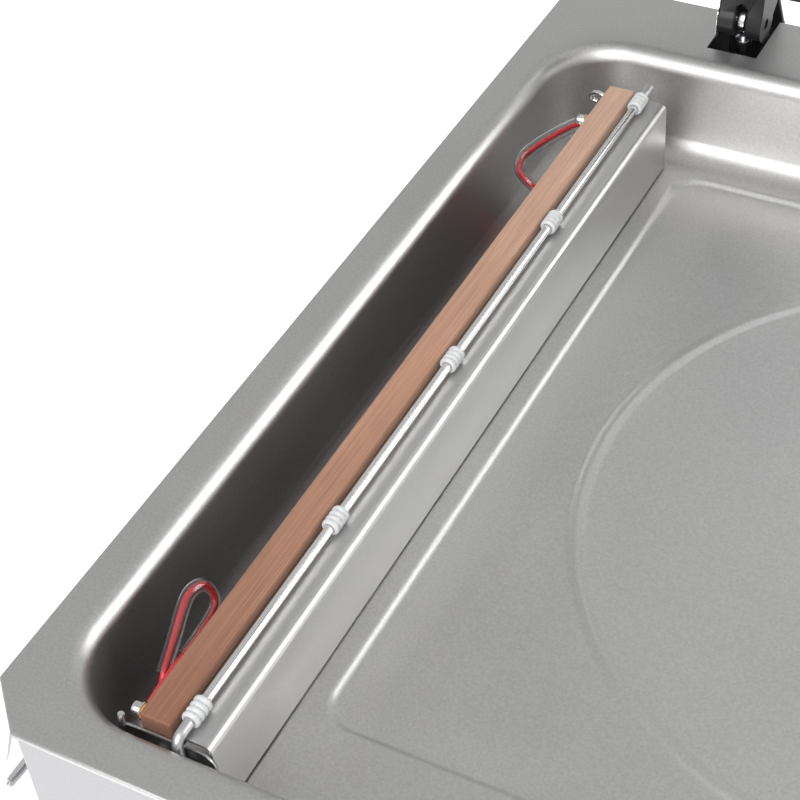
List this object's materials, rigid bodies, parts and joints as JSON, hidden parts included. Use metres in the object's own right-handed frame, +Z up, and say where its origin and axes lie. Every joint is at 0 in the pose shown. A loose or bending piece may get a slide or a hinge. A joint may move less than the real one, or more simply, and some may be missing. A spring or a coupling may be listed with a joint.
{
  "type": "vacuum packing machine",
  "caption": "Table-top chamber vacuum sealer with a drawn stainless chamber, heated seal bars at both sides, bag clamp rods and a clear hinged lid, shown open.",
  "frame": {"origin": "centre of the bounding box at the base, on the surface that the feet stand on", "axes": "+Z up, +X to the operator's right, +Y to the rear, towards the lid hinge"},
  "size_m": [0.6438, 0.54, 0.797],
  "materials": {
    "deck_steel": "satin pressed stainless",
    "panel_steel": "satin stainless sheet",
    "rubber": "matt",
    "overlay": "fine matt film",
    "gauge_black": "satin",
    "switch_black": "fine grain",
    "pump_paint": "hammered paint",
    "bright_steel": "polished",
    "cover_steel": "brushed lengthwise",
    "lead": "gloss, in a clear sleeve",
    "stop_dark": "satin",
    "hinge_black": "satin moulded",
    "acrylic": "clear polished",
    "silicone": "translucent satin",
    "counter_silicone": "satin",
    "aluminium": "satin",
    "ptfe": "woven glass cloth, coated",
    "stop_red": "gloss"
  },
  "bodies": {
    "cabinet": {"deck_chamber": "deck_steel", "front_panel": "panel_steel", "side_panel_left": "panel_steel", "side_panel_right": "panel_steel", "rear_cover": "panel_steel", "base_pan": "panel_steel", "foot_front_left": "rubber", "foot_front_right": "rubber", "foot_rear_left": "rubber", "foot_rear_right": "rubber", "control_overlay": "overlay", "vacuum_gauge": "gauge_black", "power_inlet": "switch_black", "vacuum_pump": "pump_paint", "hinge_rail": "panel_steel", "carry_handle_left": "bright_steel", "carry_handle_right": "bright_steel", "lift_bladder_left": "rubber", "lift_bladder_right": "rubber", "bar_cover_left": "cover_steel", "bar_cover_right": "cover_steel", "rod_end_plate_left": "cover_steel", "rod_end_plate_right": "cover_steel", "heater_lead_front_left": "lead", "heater_lead_front_right": "lead", "heater_lead_rear_left": "lead", "heater_lead_rear_right": "lead", "hinge_pin_left": "bright_steel", "hinge_pin_right": "bright_steel", "hinge_eye_bolt_left": "bright_steel", "hinge_eye_bolt_right": "bright_steel", "lid_spring_left": "bright_steel", "lid_spring_right": "bright_steel", "hinge_stop_left": "stop_dark", "hinge_stop_right": "stop_dark"},
    "lid": {"lid_panel": "acrylic", "lid_gasket": "rubber", "lid_handle": "switch_black", "counter_bar_left": "counter_silicone", "counter_bar_right": "counter_silicone", "hinge_arm_left": "hinge_black", "hinge_arm_right": "hinge_black"},
    "seal_bar_left": {"seal_bar_core_left": "aluminium", "ptfe_cover_left": "ptfe"},
    "seal_bar_right": {"seal_bar_core_right": "aluminium", "ptfe_cover_right": "ptfe"},
    "bag_clamp_left": {"clamp_rod_left": "bright_steel", "rod_sleeve_1_left": "silicone", "rod_sleeve_2_left": "silicone", "rod_sleeve_3_left": "silicone", "rod_sleeve_4_left": "silicone", "rod_sleeve_5_left": "silicone"},
    "bag_clamp_right": {"clamp_rod_right": "bright_steel", "rod_sleeve_1_right": "silicone", "rod_sleeve_2_right": "silicone", "rod_sleeve_3_right": "silicone", "rod_sleeve_4_right": "silicone", "rod_sleeve_5_right": "silicone"},
    "power_switch": {"power_switch_rocker": "switch_black"},
    "stop_button_body": {"stop_button": "stop_red"}
  },
  "joints": [
    {"name": "lid_hinge", "type": "hinge", "parent": "cabinet", "child": "lid", "pos_m": [0, 0.24535, 0.309], "axis": [1, 0, 0], "range_deg": [0, 75], "stiffness_Nm_per_rad": 6.3, "springref_deg": -45.84},
    {"name": "seal_bar_left_lift", "type": "slide", "parent": "cabinet", "child": "seal_bar_left", "axis": [0, 0, 1], "range_m": [0, 0.0055], "stiffness_N_per_m": 600, "springref_m": -0.004},
    {"name": "seal_bar_right_lift", "type": "slide", "parent": "cabinet", "child": "seal_bar_right", "axis": [0, 0, 1], "range_m": [0, 0.0055], "stiffness_N_per_m": 600, "springref_m": -0.004},
    {"name": "bag_clamp_left_swing", "type": "hinge", "parent": "cabinet", "child": "bag_clamp_left", "pos_m": [-0.216, -0.23915, 0.288], "axis": [0, 0, -1], "range_deg": [0, 28]},
    {"name": "bag_clamp_right_swing", "type": "hinge", "parent": "cabinet", "child": "bag_clamp_right", "pos_m": [0.216, -0.23915, 0.288], "axis": [0, 0, 1], "range_deg": [0, 28]},
    {"name": "power_switch_rock", "type": "hinge", "parent": "cabinet", "child": "power_switch", "pos_m": [-0.214, -0.25845, 0.195], "axis": [-1, 0, 0], "range_deg": [0, 10]},
    {"name": "stop_button_press", "type": "slide", "parent": "cabinet", "child": "stop_button_body", "axis": [0, 1, 0], "range_m": [0, 0.005], "stiffness_N_per_m": 300, "springref_m": -0.002}
  ],
  "couplings": [
    {"joint": "seal_bar_right_lift", "follows": "seal_bar_left_lift", "ratio": 1}
  ]
}
